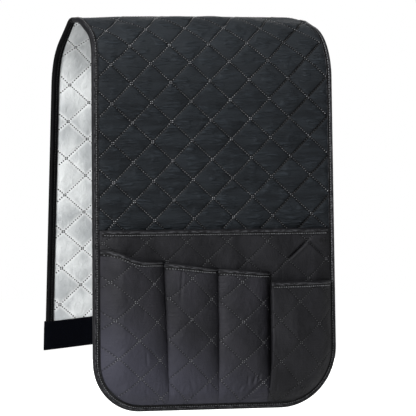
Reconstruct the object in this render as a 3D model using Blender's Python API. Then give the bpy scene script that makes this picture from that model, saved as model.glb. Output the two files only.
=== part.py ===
"""Sofa armrest organizer: a quilted strip that hangs over an armrest, with five pockets on its front flap.

Like the real one, every piece is cut and sewn flat and then hung. Flat means laid on a table, outer side up:
X runs across the strip, Y along it (the front flap towards -Y) and Z is the height above the table.
hung() then bends the flat places over the armrest. In the finished frame the origin is the middle of the
lining where it lies on the armrest, +Z is up and the front flap hangs on the -Y side. All sizes in metres.
"""

import math

import bmesh
import bpy
import numpy as np
from mathutils import Vector

# The strip, and how far each flap's lower edge hangs below the armrest's top
strip_width = 0.330
front_drop = 0.490
rear_drop = 0.420
corner_radius = 0.070

# The armrest's side view, along the lining from the middle outwards: half of the level seat, then on each
# side a tight crown, a straight roof and a wide shoulder. The rear flap leans away from the armrest
seat_half = 0.006
front_crown_run = 0.009
front_crown_turn = math.radians(26)
front_roof_run = 0.026
front_shoulder_run = 0.046
rear_crown_run = 0.009
rear_crown_turn = math.radians(47)
rear_roof_run = 0.032
rear_shoulder_run = 0.062
rear_lean = math.radians(4.5)

# Where the strip is parted between the saddle and a flap, along the lining from the middle
front_split = 0.053
rear_split = 0.041

# The quilt's three layers, from the armrest outwards, and the diamonds sewn through them
lining_thickness = 0.0013
wadding_thickness = 0.0020
shell_thickness = 0.0016
lining_channel = 0.0008
shell_channel = 0.0011
diamond_width = 0.0524
diamond_height = 0.0490
seat_margin_step = 0.0002

# Tape folded round the edges, and round the mouths of the pockets
binding_width = 0.0080
hem_height = 0.0080
tape_thickness = 0.0008

# The sleeve over the rear end
band_height = 0.0360
band_cloth = 0.0012

# The wide magazine pocket: heights are above the flap's lower edge
pocket_cloth = 0.0012
magazine_top = 0.226
magazine_depth = 0.0080
magazine_foot = 0.0180

# The four small pockets on it, left to right: the outer two's widths from the strip's edges, each mouth's
# height at its left and right end, and how far the mouth stands open
remote_width = 0.0930
phone_width = 0.1010
remote_top_left = 0.2020
remote_top_right = 0.1880
remote_depth = 0.0150
glasses_top_left = 0.1840
glasses_top_right = 0.1780
glasses_depth = 0.0110
pen_top_left = 0.1760
pen_top_right = 0.1720
pen_depth = 0.0100
phone_top_left = 0.1590
phone_top_right = 0.1600
phone_depth = 0.0170
hem_inset = 0.0040

# The pleat under the phone pocket's left edge
gusset_cloth = 0.0012
gusset_width = 0.0090
gusset_inset = 0.0010
gusset_foot_depth = 0.0040

# Clearance between neighbouring pieces, and how far a blank runs past its outline before it is trimmed
gap = 0.0003
overrun = 0.0020

# Counts, and shares of the sizes that they follow: the glasses pocket's share of the width between the outer
# pockets, the share of a pocket's height at which it stands fully open, the share of the remote pocket's
# mouth that slopes, and how much longer than asked an even step may be
saddle_divisions = 2
pocket_columns = 8
corner_steps = 6
glasses_share = 0.5176
open_share = 0.55
mouth_slope_share = 0.6
stretch_share = 0.25

# What follows from the values above
half_width = strip_width / 2
remote_seam = remote_width - half_width
pen_seam = half_width - phone_width
glasses_seam = remote_seam + (pen_seam - remote_seam) * glasses_share
wadding_level = lining_thickness + gap
shell_level = wadding_level + wadding_thickness + gap
quilt_thickness = shell_level + shell_thickness
tape_room = tape_thickness + gap
front_turn = math.pi / 2
rear_turn = math.pi / 2 - rear_lean
front_bends = [(front_crown_run, front_crown_turn), (front_roof_run, 0.0),
               (front_shoulder_run, front_turn - front_crown_turn)]
rear_bends = [(rear_crown_run, rear_crown_turn), (rear_roof_run, 0.0),
              (rear_shoulder_run, rear_turn - rear_crown_turn)]
front_fold_end = seat_half + front_crown_run + front_roof_run + front_shoulder_run
rear_fold_end = seat_half + rear_crown_run + rear_roof_run + rear_shoulder_run
pocket_inset = binding_width + gap
pocket_half_width = half_width - pocket_inset
pocket_radius = corner_radius - pocket_inset
pocket_level = quilt_thickness + gap


def side_view(bends, run, level):
    """Depth and height of places on one side: run along the lining from the middle, level above it. They lie
    along the seat, round each bend in turn and then straight on. A stretch of a bend that turns by an angle
    spans length * sin(angle / 2) / (angle / 2), in the direction half way through the angle."""
    depth = np.minimum(run, seat_half)
    height = 0 * depth
    start, heading, left = 0.0, 0.0, run - seat_half
    for length, turn in bends:
        part = np.clip(left, 0, length)
        half = turn * part / length / 2
        span = part * np.sinc(half / math.pi)
        depth = depth + span * np.cos(start + half)
        height = height - span * np.sin(start + half)
        start, heading, left = start + turn, heading + 2 * half, left - length
    straight = np.maximum(left, 0)
    depth = depth + straight * np.cos(heading) + level * np.sin(heading)
    height = height - straight * np.sin(heading) + level * np.cos(heading)
    return depth, height


front_end = front_fold_end + front_drop + side_view(front_bends, front_fold_end, 0.0)[1]
rear_end = rear_fold_end + (rear_drop + side_view(rear_bends, rear_fold_end, 0.0)[1]) / math.cos(rear_lean)


def hung(flat):
    """Flat places (x, y, z) bent over the armrest."""
    x, y, z = np.asarray(flat, float).T
    front_depth, front_height = side_view(front_bends, np.abs(y), z)
    rear_depth, rear_height = side_view(rear_bends, np.abs(y), z)
    depth = np.where(y < 0, -front_depth, rear_depth)
    height = np.where(y < 0, front_height, rear_height)
    return np.column_stack([x, depth, height])


def evenly(start, end, step):
    """Places from start to end in equal steps, as few as keep them within a share of the step asked for."""
    count = max(1, math.ceil(abs(end - start) / step - stretch_share))
    return np.linspace(start, end, count + 1)


def stretches(ends, step):
    """Places in even steps over each stretch between the given ends."""
    return np.concatenate([ends[:1]] + [evenly(start, end, step)[1:] for start, end in zip(ends, ends[1:])])


def cloth(name, colour, roughness):
    """A plain cloth finish."""
    made = bpy.data.materials.new(name)
    made.use_nodes = True
    shader = made.node_tree.nodes["Principled BSDF"]
    shader.inputs["Base Color"].default_value = (*colour, 1.0)
    shader.inputs["Roughness"].default_value = roughness
    shader.inputs["Metallic"].default_value = 0.0
    return made


def slab(across, along, lower, upper, first_column=0, first_row=0):
    """A flat piece between two heights. across, along, lower and upper hold a value for each column and row.
    Each cell is creased from even corner to even corner, which draws the diamonds; first_column and
    first_row say where the piece starts in the whole pattern."""
    columns, rows = across.shape[0] - 1, across.shape[1] - 1
    body = bmesh.new()
    column = body.verts.layers.int.new("column")
    row = body.verts.layers.int.new("row")
    bmesh.ops.create_grid(body, x_segments=columns, y_segments=rows, size=0.5)
    for v in body.verts:
        v[column] = round((v.co.x + 0.5) * columns)
        v[row] = round((v.co.y + 0.5) * rows)
    for face in list(body.faces):
        even = [v for v in face.verts if (v[column] + v[row] + first_column + first_row) % 2 == 0]
        bmesh.utils.face_split(face, even[0], even[1])
    levels = [(list(body.verts), lower)]
    raised = bmesh.ops.extrude_face_region(body, geom=body.faces[:])["geom"]
    levels.append(([v for v in raised if isinstance(v, bmesh.types.BMVert)], upper))
    for verts, level in levels:
        for v in verts:
            place = (v[column], v[row])
            v.co = (across[place], along[place], level[place])
    return body


def carried(rings):
    """A closed section carried along a run: its first ring is a face, extruded to each next ring in turn."""
    body = bmesh.new()
    end = body.faces.new([body.verts.new(place) for place in rings[0]])
    inner = []
    for ring in rings[1:]:
        copied = bmesh.ops.extrude_face_region(body, geom=[end])["geom"]
        end = next(part for part in copied if isinstance(part, bmesh.types.BMFace))
        inner.append(end)
        for v, place in zip(end.verts, ring):
            v.co = place
    for face in inner[:-1]:
        body.faces.remove(face)
    return body


def tape_section(width, inner, outer):
    """The U of a tape folded round an edge. Each corner is (distance in from the tape's fold, height): the
    legs reach in by width and clear the levels inner and outer by the gap."""
    low, high = inner - gap, outer + gap
    return [(width, low), (width, low - tape_thickness), (0.0, low - tape_thickness),
            (0.0, high + tape_thickness), (width, high + tape_thickness), (width, high),
            (tape_thickness, high), (tape_thickness, low)]


def front_rows():
    """The front flap's rows of half diamonds, from its lower edge to the split."""
    return stretches([-front_end, -front_fold_end, -front_split - gap / 2], diamond_height / 2)


def saddle_rows():
    """The saddle's rows, closer together than half diamonds because its bends are tight."""
    ends = [gap / 2 - front_split, -seat_half - front_crown_run, -seat_half, seat_half,
            seat_half + rear_crown_run, rear_split - gap / 2]
    return stretches(ends, diamond_height / 2 / saddle_divisions)


def rear_rows():
    """The rear flap's rows of half diamonds, from the split to the lining's end inside the band."""
    return stretches([rear_split + gap / 2, rear_fold_end, rear_end - band_cloth - gap], diamond_height / 2)


def corner_outline(inset):
    """The front flap's edge, drawn in by inset: points and outward directions down the left side, round both
    lower corners and up the right side, from the split in the fold."""
    radius = corner_radius - inset
    centre_x = half_width - corner_radius
    centre_y = corner_radius - front_end
    sides = front_rows()
    sides = sides[sides > centre_y]
    points = [(-half_width + inset, y) for y in sides[::-1]]
    ways = [(-1.0, 0.0)] * len(points)
    for centre, start in ((-centre_x, math.pi), (centre_x, 1.5 * math.pi)):
        for angle in np.linspace(start, start + math.pi / 2, corner_steps + 1):
            ways.append((math.cos(angle), math.sin(angle)))
            points.append((centre + radius * ways[-1][0], centre_y + radius * ways[-1][1]))
    points += [(half_width - inset, y) for y in sides]
    ways += [(1.0, 0.0)] * len(sides)
    return np.array(points), np.array(ways)


def outline_blank(inset, group):
    """A solid with the front flap's rounded outline, taller than the quilt, to trim a layer with."""
    points = corner_outline(inset)[0]
    points[[0, -1], 1] += front_split
    curve = bpy.data.curves.new("outline", "CURVE")
    curve.dimensions = "2D"
    curve.fill_mode = "BOTH"
    curve.extrude = quilt_thickness + overrun
    spline = curve.splines.new("POLY")
    spline.points.add(len(points) - 1)
    spline.points.foreach_set("co", np.column_stack([points, 0 * points]).ravel())
    spline.use_cyclic_u = True
    drawn = bpy.data.objects.new("outline", curve)
    group.objects.link(drawn)
    bpy.context.view_layer.update()
    mesh = bpy.data.meshes.new_from_object(drawn.evaluated_get(bpy.context.evaluated_depsgraph_get()))
    bpy.data.objects.remove(drawn)
    blank = bmesh.new()
    blank.from_mesh(mesh)
    bmesh.ops.remove_doubles(blank, verts=blank.verts[:], dist=gap / 10)
    blank.to_mesh(mesh)
    blank.free()
    cutter = bpy.data.objects.new("outline", mesh)
    cutter.hide_render = True
    cutter.display_type = "WIRE"
    group.objects.link(cutter)
    return cutter


def trimmed(body, cutter):
    """The flat piece cut to the outline of the cutter."""
    mesh = bpy.data.meshes.new("blank")
    body.to_mesh(mesh)
    body.free()
    blank = bpy.data.objects.new("blank", mesh)
    bpy.context.scene.collection.objects.link(blank)
    cut = blank.modifiers.new("outline", "BOOLEAN")
    cut.operation = "INTERSECT"
    cut.solver = "EXACT"
    cut.object = cutter
    bpy.context.view_layer.update()
    result = bpy.data.meshes.new_from_object(blank.evaluated_get(bpy.context.evaluated_depsgraph_get()))
    bpy.data.objects.remove(blank)
    body = bmesh.new()
    body.from_mesh(result)
    return body


def finished(name, body, material, group, carrier):
    """Hangs a flat piece over the armrest and fastens it to its carrier, an empty on the joint's axis."""
    for v, place in zip(body.verts, hung([v.co for v in body.verts])):
        v.co = Vector(place) - carrier.location
    bmesh.ops.recalc_face_normals(body, faces=body.faces[:])
    mesh = bpy.data.meshes.new(name)
    body.to_mesh(mesh)
    body.free()
    mesh.materials.clear()
    mesh.materials.append(material)
    made = bpy.data.objects.new(name, mesh)
    made.parent = carrier
    group.objects.link(made)
    return made


def layer(columns, rows, first, divisions, lower, upper, lower_channel=0.0, upper_channel=0.0):
    """One layer of the quilt. In half diamonds, u across and v along, the channels run where u + v or u - v
    is even, and between them the puff is the root of |sin((u + v) pi / 2) sin((u - v) pi / 2)|. The side
    edges are pressed as thin as a channel. first is the column and row of the pattern at the layer's own
    corner, counted in steps of which divisions make a half diamond."""
    across, along = np.meshgrid(columns, rows, indexing="ij")
    column, row = np.indices(across.shape)
    u, v = (column + first[0]) / divisions, (row + first[1]) / divisions
    puff = np.sqrt(np.abs(np.sin((u + v) * math.pi / 2) * np.sin((u - v) * math.pi / 2)))
    puff[np.abs(columns) > pocket_half_width + gap, :] = 0
    pressed = 1 - puff
    return slab(across, along, lower + lower_channel * pressed, upper - upper_channel * pressed, *first)


def quilt_columns(divisions):
    """Where the columns lie between the edge tapes, with the layers' own edges outside them."""
    inner = evenly(-pocket_half_width, pocket_half_width, diamond_width / 2 / divisions)
    return np.concatenate([[tape_room - half_width], inner, [half_width - tape_room]])


def quilt_parts(columns, rows, first, divisions=1):
    """The lining, wadding and shell of one stretch of the strip, flat and untrimmed."""
    sides = columns[[0, 1, -2, -1]]
    wadding_top = wadding_level + wadding_thickness
    return {
        "lining": layer(columns, rows, first, divisions, 0.0, lining_thickness, lower_channel=lining_channel),
        "wadding": layer(sides, rows, first, divisions, wadding_level, wadding_top),
        "shell": layer(columns, rows, first, divisions, shell_level, quilt_thickness,
                       upper_channel=shell_channel),
    }


def seat_lining(rows):
    """The saddle's lining: plain and flat where it lies on the armrest, eased up under the edge tapes."""
    columns = quilt_columns(1)[[0, 1, -2, -1]]
    across, along = np.meshgrid(columns, rows, indexing="ij")
    lower = np.zeros(across.shape)
    lower[[0, -1], :] = seat_margin_step
    return slab(across, along, lower, 0 * lower + lining_thickness)


def side_tape(side, rows):
    """The edge tape down one straight side of the strip."""
    section = tape_section(binding_width, 0.0, quilt_thickness)
    return carried([[(side * (half_width - inward), y, z) for inward, z in section] for y in rows])


def front_tape():
    """The edge tape down the front flap's left side, round both corners and up its right side."""
    section = tape_section(binding_width, 0.0, quilt_thickness)
    rings = [[(x - inward * way_x, y - inward * way_y, z) for inward, z in section]
             for (x, y), (way_x, way_y) in zip(*corner_outline(0.0))]
    return carried(rings)


def end_sleeve():
    """The band over the rear end: a box pressed in from its mouth, which closes round the strip's end."""
    low = -tape_room - gap - band_cloth
    high = quilt_thickness + tape_room + gap + band_cloth
    width = strip_width + 2 * (gap + band_cloth)
    body = bmesh.new()
    bmesh.ops.create_cube(body, size=1.0)
    for v in body.verts:
        v.co.x *= width
        v.co.y = rear_end + (v.co.y - 0.5) * band_height
        v.co.z = (low + high) / 2 + v.co.z * (high - low)
    mouth = min(body.faces, key=lambda face: face.calc_center_median().y)
    bmesh.ops.inset_individual(body, faces=[mouth], thickness=band_cloth)
    pressed = bmesh.ops.extrude_face_region(body, geom=[mouth])["geom"]
    body.faces.remove(mouth)
    for part in pressed:
        if isinstance(part, bmesh.types.BMVert):
            part.co.y = rear_end - band_cloth
    return body


def edge_at(height):
    """Half the width between the edge tapes at a height above the flap's lower edge."""
    below = np.clip(pocket_radius + pocket_inset - height, 0, pocket_radius)
    return pocket_half_width - pocket_radius + np.sqrt(pocket_radius ** 2 - below ** 2)


def open_height(top):
    """The height at which a pocket stands fully open, for the height of its mouth."""
    return pocket_inset + open_share * (top - pocket_inset)


def pocket_heights(top):
    """Heights of a pocket's rows for each of its columns: close together round the flap's lower corners,
    then where the pocket is fully open, then its mouth."""
    turn = np.linspace(0, math.pi / 2, corner_steps + 1)
    rows = pocket_inset + pocket_radius * (1 - np.cos(turn))
    return np.column_stack([np.tile(rows, (len(top), 1)), open_height(top), top])


def pocket_across(left, right, heights):
    """Evenly spaced columns from left to right, each a seam's place or None for the flap's own edge."""
    share = np.linspace(0, 1, len(heights))[:, None]
    start = -edge_at(heights) if left is None else np.full_like(heights, left)
    end = edge_at(heights) if right is None else np.full_like(heights, right)
    return start + (end - start) * share


def magazine_level(heights, left, right):
    """Height of the magazine panel's back over the table: flat, but sewn down at its sides and foot."""
    level = magazine_depth * np.clip((heights - pocket_inset) / magazine_foot, 0, 1)
    if left is None:
        level[0] = 0
    if right is None:
        level[-1] = 0
    return pocket_level + level


def magazine_panel():
    """The wide panel, in the four stretches that the small pockets' seams mark on it."""
    seams = [None, remote_seam, glasses_seam, pen_seam, None]
    heights = pocket_heights(np.full(pocket_columns + 1, magazine_top))
    across, lower = [], []
    for k, (left, right) in enumerate(zip(seams, seams[1:])):
        keep = slice(0 if k == 0 else 1, None)
        across.append(pocket_across(left, right, heights)[keep])
        lower.append(magazine_level(heights, left, right)[keep])
    across, lower = np.concatenate(across), np.concatenate(lower)
    along = np.tile(heights[0], (len(across), 1)) - front_end
    return across, along, lower


def small_pocket(left, right, top, depth, crown):
    """A small pocket's panel, which stands off the magazine panel by depth times its crown and its rise."""
    heights = pocket_heights(top)
    inner_left = None if left is None else left + gap / 2
    inner_right = None if right is None else right - gap / 2
    rise = np.clip((heights - pocket_inset) / (open_height(heights[:, -1:]) - pocket_inset), 0, 1)
    stand = depth * crown[:, None] * np.sin(rise * math.pi / 2)
    lower = magazine_level(heights, left, right) + pocket_cloth + gap + stand
    return pocket_across(inner_left, inner_right, heights), heights - front_end, lower


def mouth_tape(across, along, lower, left_inset, right_inset):
    """The tape folded over a pocket's mouth, from just inside one end of it to just inside the other."""
    x, y, z = across[:, -1], along[:, -1], lower[:, -1]
    places = np.concatenate([[x[0] + left_inset], x[1:-1], [x[-1] - right_inset]])
    rings = []
    for place in places:
        level = np.interp(place, x, z)
        fold = np.interp(place, x, y) + tape_room
        section = tape_section(hem_height, level, level + pocket_cloth)
        rings.append([(place, fold - down, height) for down, height in section])
    return carried(rings)


def phone_pleat(across, along, lower):
    """The pleat from the phone pocket's free left edge back and in to the magazine panel."""
    x, y, z = across[0], along[0].copy(), lower[0]
    y[-1] -= hem_height + gap
    base = pocket_level + magazine_depth + pocket_cloth + gap
    rows = np.flatnonzero(z - base > gusset_foot_depth)
    y, z = y[rows], z[rows]
    across = np.array([np.full(len(rows), x[0] + gusset_inset), np.full(len(rows), x[0] + gusset_width)])
    under = np.array([z - gap - gusset_cloth, np.full(len(rows), base)])
    return slab(across, np.array([y, y]), under, under + gusset_cloth)


def carrier_at(name, side, bends, group):
    """An empty on a flap's joint axis: one turn about it takes the fold's end, at half the quilt's thickness,
    to where it lies with the whole fold unrolled level."""
    run = seat_half + sum(length for length, turn in bends)
    turn = sum(turn for length, turn in bends)
    level = quilt_thickness / 2
    bent = Vector(side_view(bends, run, level))
    unrolled = Vector((run + level * turn, level))
    step = (unrolled - bent) / 2
    axis = bent + step + Vector((-step.y, step.x)) / math.tan(turn / 2)
    made = bpy.data.objects.new(name, None)
    made.location = (0.0, side * axis.x, axis.y)
    group.objects.link(made)
    return made


def main():
    """Builds the whole organizer."""
    for old in list(bpy.data.objects):
        bpy.data.objects.remove(old)
    group = bpy.data.collections.new("armrest_organizer")
    cutters = bpy.data.collections.new("cutters")
    for collection in (group, cutters):
        bpy.context.scene.collection.children.link(collection)

    black = cloth("black_quilt", (0.024, 0.028, 0.032), 0.75)
    silver = cloth("silver_lining", (0.54, 0.56, 0.58), 0.45)
    white = cloth("white_wadding", (0.75, 0.75, 0.73), 0.95)
    tape = cloth("black_tape", (0.018, 0.018, 0.020), 0.6)
    panel = cloth("black_pocket", (0.030, 0.030, 0.034), 0.75)
    band = cloth("black_band", (0.006, 0.006, 0.007), 0.95)
    finishes = {"lining": silver, "wadding": white, "shell": black}

    saddle = bpy.data.objects.new("saddle_carrier", None)
    group.objects.link(saddle)
    front = carrier_at("front_flap_carrier", -1, front_bends, group)
    rear = carrier_at("rear_flap_carrier", 1, rear_bends, group)

    front_blank_rows = front_rows()
    front_blank_rows[0] -= overrun
    saddle_along, rear_along = saddle_rows(), rear_rows()
    saddle_first = len(front_blank_rows) - 1
    rear_first = saddle_first + (len(saddle_along) - 1) // saddle_divisions

    outline = outline_blank(tape_room, cutters)
    columns = quilt_columns(1)
    blank_columns = np.concatenate([[columns[0] - overrun], columns, [columns[-1] + overrun]])
    for part, body in quilt_parts(blank_columns, front_blank_rows, (-1, 0)).items():
        finished("front_" + part, trimmed(body, outline), finishes[part], group, front)
    saddle_corner = (saddle_divisions - 1, saddle_first * saddle_divisions)
    for part, body in quilt_parts(quilt_columns(saddle_divisions), saddle_along, saddle_corner,
                                  saddle_divisions).items():
        shape = seat_lining(saddle_along) if part == "lining" else body
        finished("saddle_" + part, shape, finishes[part], group, saddle)
    for part, body in quilt_parts(columns, rear_along, (0, rear_first)).items():
        finished("rear_" + part, body, finishes[part], group, rear)

    finished("front_binding", front_tape(), tape, group, front)
    for side, word in ((-1, "left"), (1, "right")):
        finished("saddle_binding_" + word, side_tape(side, saddle_along), tape, group, saddle)
        finished("rear_binding_" + word, side_tape(side, rear_along), tape, group, rear)
    finished("end_band", end_sleeve(), band, group, rear)

    across, along, lower = magazine_panel()
    finished("magazine_pocket", slab(across, along, lower, lower + pocket_cloth), panel, group, front)
    finished("magazine_hem", mouth_tape(across, along, lower, hem_inset, hem_inset), tape, group, front)

    share = np.linspace(0, 1, pocket_columns + 1)
    bowed = 1 - np.abs(2 * share - 1) ** 3
    boxed = 1 - share ** 4
    sloped = np.minimum(share / mouth_slope_share, 1)
    pockets = [
        ("remote", None, remote_seam, (remote_top_left, remote_top_right), sloped, remote_depth, bowed),
        ("glasses", remote_seam, glasses_seam, (glasses_top_left, glasses_top_right), share, glasses_depth,
         bowed),
        ("pen", glasses_seam, pen_seam, (pen_top_left, pen_top_right), share, pen_depth, bowed),
        ("phone", pen_seam, None, (phone_top_left, phone_top_right), share, phone_depth, boxed),
    ]
    for k, (name, left, right, tops, slope, depth, crown) in enumerate(pockets):
        top = tops[0] + (tops[1] - tops[0]) * slope
        across, along, lower = small_pocket(left, right, top, depth, crown)
        body = slab(across, along, lower, lower + pocket_cloth, first_column=k * pocket_columns)
        finished(name + "_pocket", body, panel, group, front)
        left_inset = 0.0 if name == "phone" else hem_inset
        finished(name + "_hem", mouth_tape(across, along, lower, left_inset, hem_inset), tape, group, front)
        if name == "phone":
            finished("phone_gusset", phone_pleat(across, along, lower), panel, group, front)


main()
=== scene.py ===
"""The looks of a quilted sofa armrest organizer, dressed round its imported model.

The strip is described as it lies flat: x runs across it, along is the cloth's length from the front
flap's lower edge, and level is the height above the lining's underside, outer side up. drape() hangs such
places over the armrest. All sizes are in metres.
"""

import math

import bpy
import numpy as np
from mathutils import Matrix, Vector


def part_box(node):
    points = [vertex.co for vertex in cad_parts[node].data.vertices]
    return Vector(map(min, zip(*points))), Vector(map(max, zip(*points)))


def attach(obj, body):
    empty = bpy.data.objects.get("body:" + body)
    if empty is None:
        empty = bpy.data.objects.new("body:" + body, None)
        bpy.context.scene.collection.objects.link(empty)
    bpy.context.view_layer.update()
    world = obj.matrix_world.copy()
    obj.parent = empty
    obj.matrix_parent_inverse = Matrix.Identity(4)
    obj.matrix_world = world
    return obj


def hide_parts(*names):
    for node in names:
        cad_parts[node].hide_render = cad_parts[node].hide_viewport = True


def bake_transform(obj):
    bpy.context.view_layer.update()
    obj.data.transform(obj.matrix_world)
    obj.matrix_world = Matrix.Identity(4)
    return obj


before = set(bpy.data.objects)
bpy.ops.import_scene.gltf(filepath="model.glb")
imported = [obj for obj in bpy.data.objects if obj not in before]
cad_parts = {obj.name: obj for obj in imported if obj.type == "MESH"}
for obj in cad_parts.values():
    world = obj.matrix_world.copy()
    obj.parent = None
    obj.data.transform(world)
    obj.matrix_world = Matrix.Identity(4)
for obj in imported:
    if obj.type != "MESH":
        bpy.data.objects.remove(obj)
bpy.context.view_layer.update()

# Where the photograph was taken from, and how long its lens was for a square picture
camera_place = (-2.494, -5.822, -0.146)
camera_yaw = math.radians(23.35)
camera_pitch = math.radians(-0.83)
camera_roll = math.radians(-0.27)
lens_share = 5000 / 416
sensor_width = 36.0

# The strip, as it is packed
half_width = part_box("front_binding")[1].x
strip_width = 2 * half_width
front_drop = -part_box("front_binding")[0].z
rear_drop = -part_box("rear_binding_left")[0].z

# The armrest's side view as (run, turn) along the lining from the ridge, at the strip's left edge, middle
# and right edge. The fold is wider towards the right, and the rear flap leans out less there
seat_half = 0.006
front_bends = (((0.0223, math.radians(29.8)), (0.0199, 0.0), (0.0350, math.radians(60.2))),
               ((0.0205, math.radians(3.0)), (0.0005, 0.0), (0.0690, math.radians(87.0))),
               ((0.0030, math.radians(20.8)), (0.0283, 0.0), (0.0797, math.radians(69.2))))
rear_bends = (((0.0090, math.radians(47)), (0.0320, 0.0), (0.0620, math.radians(38.5))),
              ((0.0090, math.radians(47)), (0.0251, 0.0), (0.0485, math.radians(38.5))),
              ((0.0090, math.radians(47)), (0.0194, 0.0), (0.0350, math.radians(38.5))))
left_droop = 0.0028
left_droop_width = 0.050
right_droop = 0.0052
right_droop_width = 0.016
droop_run = 0.080
flare_low = 0.0035
flare_high = -0.0030
rear_lift_left = 0.0016
rear_lift_right = 0.0055
rear_lift_width = 0.035
rear_flare = 0.0034
rear_flare_width = 0.012

# The quilt: a crossing of its lines, the diamonds' width and height, and how far their rows rise and their
# columns lean for each metre. It is drawn closer over the fold than on the flaps. Then its layers' levels,
# and how deep its channels are
quilting = (-0.1131, 0.4584, 0.0538, 0.0491, 0.030, -0.020)
drawn_from = (0.0, 0.4300, 0.4850, 0.5300, 0.6361, 0.9830)
drawn_to = (0.0, 0.4300, 0.4933, 0.5271, 0.6278, 0.9910)
shell_level = 0.0045
shell_puff = 0.0025
shell_thickness = 0.0006
lining_level = 0.0008
lining_puff = 0.0013
lining_thickness = 0.0006
wadding_low = 0.0016
wadding_high = 0.0036

# The quilt's grids: steps to half a diamond, closing columns and rows at the strip's edges, and how far the
# layers keep in from them. Then how wide the edge tape presses the puffs down, and how flat the ridge draws
# them
quilt_steps = 12
wadding_steps = 4
side_columns = 7
end_rows = 6
edge_room = 0.0011
wadding_room = 0.002
band_overlap = 0.0015
pressed_share = 0.7
press_width = 0.010
ridge_reach = 0.035
ridge_flat = 0.90

# Soft creases in the layers: how much longer they are across, their size, their seed and their depth
shell_creases = ((4, 0.010, 3, 0.00022), (1, 0.030, 4, 0.0002))
lining_ripples = ((1, 0.016, 5, 0.00045), (1, 0.007, 6, 0.00012))
magazine_wrinkles = ((1, 0.040, 21, 0.0004),)
band_waves = ((1, 0.045, 31, 0.0005),)

# Stitches: how many to a diamond's side, the length and width of those on the outer cloth, the lining, the
# pockets and the bar tacks, how far they stand off the cloth, and the form of a stitch's bead
stitches_a_side = 11
outer_stitch = (0.0013, 0.0011)
lining_stitch = (0.0018, 0.0017)
pocket_stitch = (0.0014, 0.0010)
bar_stitch = (0.0050, 0.0008)
quilt_lift = 0.0002
thread_lift = 0.0001
bar_lift = 0.0003
tape_room = 0.0005
end_room = 0.010
bead_sides = 6
bead_flat = 0.8
bead_taper = 0.55

# How much stitches shine, as a painted glint in their colour, and what being at a crossing adds. To the
# right the outer cloth folds in above its rising lines, and painted shade dims them
quilt_shine = (0.60, 0.40)
pocket_shine = (0.25, 0.35)
plain_shine = 0.5
tuck_start = 0.030
tuck_reach = 0.090
tuck_shade_dim = 0.9

# Edge tape and corners. The tape is sewn at a share of its width, where it is pressed down
binding_width = 0.0080
tape_thickness = 0.0007
tape_low = -0.0006
tape_high = 0.0056
left_radius = 0.062
right_radius = 0.078
tape_step = 0.002
tape_legs = 10
tape_turns = 12
sewn_share = 0.62
tape_dip = 0.18
tape_dip_width = 0.09
tape_swell = 0.10
tape_stitch_step = 0.0032
tape_stitch_share = 0.72
tape_stitch_width = 0.0009

# Pockets. Where a small pocket is open, it stands off fully from a share of its height up
pocket_inset = 0.0083
pocket_level = 0.0058
pocket_cloth = 0.0009
magazine_top = 0.226
magazine_depth = 0.008
magazine_foot = 0.018
open_share = 0.55
hem_height = 0.0080
hem_rise = 0.0009
hem_half = 0.0014
hem_sewn_share = 0.84
magazine_grid = (240, 160)
pocket_grid = (110, 170)
small_gap = 0.0005
pocket_loft = 0.0011
magazine_loft = 0.0010
magazine_side = 0.030
wrinkle_size = 0.032
wrinkle_depth = 0.0007
foot_gather = 0.0009
foot_gather_reach = 0.028
foot_gather_size = 0.011
foot_gather_stretch = 1.6
fold_roll = 0.0022
hold_side = 0.10
hold_foot = 0.04
hold_mouth = 0.06
magazine_mouth_flat = 0.002
magazine_mouth_ease = 0.010
fold_crowding = 1.5
stitch_seam_room = 0.002
stitch_foot_room = 0.012

# Sharp creases: how wide and deep they are, and the share by which the cloth rises beside them
pocket_crease = (0.0017, 0.0011)
magazine_crease = (0.0015, 0.0036)
crease_raised = 0.3

# The pleat under the phone pocket's free edge: its foot, where it starts, how far it reaches and how it
# eases
pleat_foot = 0.030
pleat_start = 0.0004
pleat_reach = 0.0086
pleat_base = 0.009
pleat_easing = 1.3
pleat_gap = 0.0003
pleat_under = 0.0002
pleat_grid = (14, 70)

# The velvet band
band_height = 0.0360
band_past_side = 0.0014
band_past_end = 0.0010
band_nose = 0.0030
band_cloth = 0.0011
band_room = 0.0016
band_wave_start = 0.01
band_columns = 150
band_legs = 20
band_turns = 12

# Seams between the pockets, each its x at seam_height and at the foot. The pen pocket's right edge lies
# under the phone pocket
seam_height = 0.2
seam_gap = 0.00015
remote_seam = (-0.0758, -0.0680)
glasses_seam = (-0.0016, -0.0016)
pen_seam = (0.0646, 0.0655)
pen_edge = (0.0690, 0.0697)
magazine_quilting = (-0.0427, 0.2108, 0.0550, 0.0475, 0.001, -0.023)
magazine_creases = (((0.1225, 0.2110), (0.0965, 0.1885), 1.0), ((0.1240, 0.2110), (0.1510, 0.1885), 1.0))
bar_tacks = (0.1411, 0.1460, 0.1509)
bar_tack_height = 0.2115
bar_tack_step = 0.0005
magazine_glint = 0.45

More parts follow.
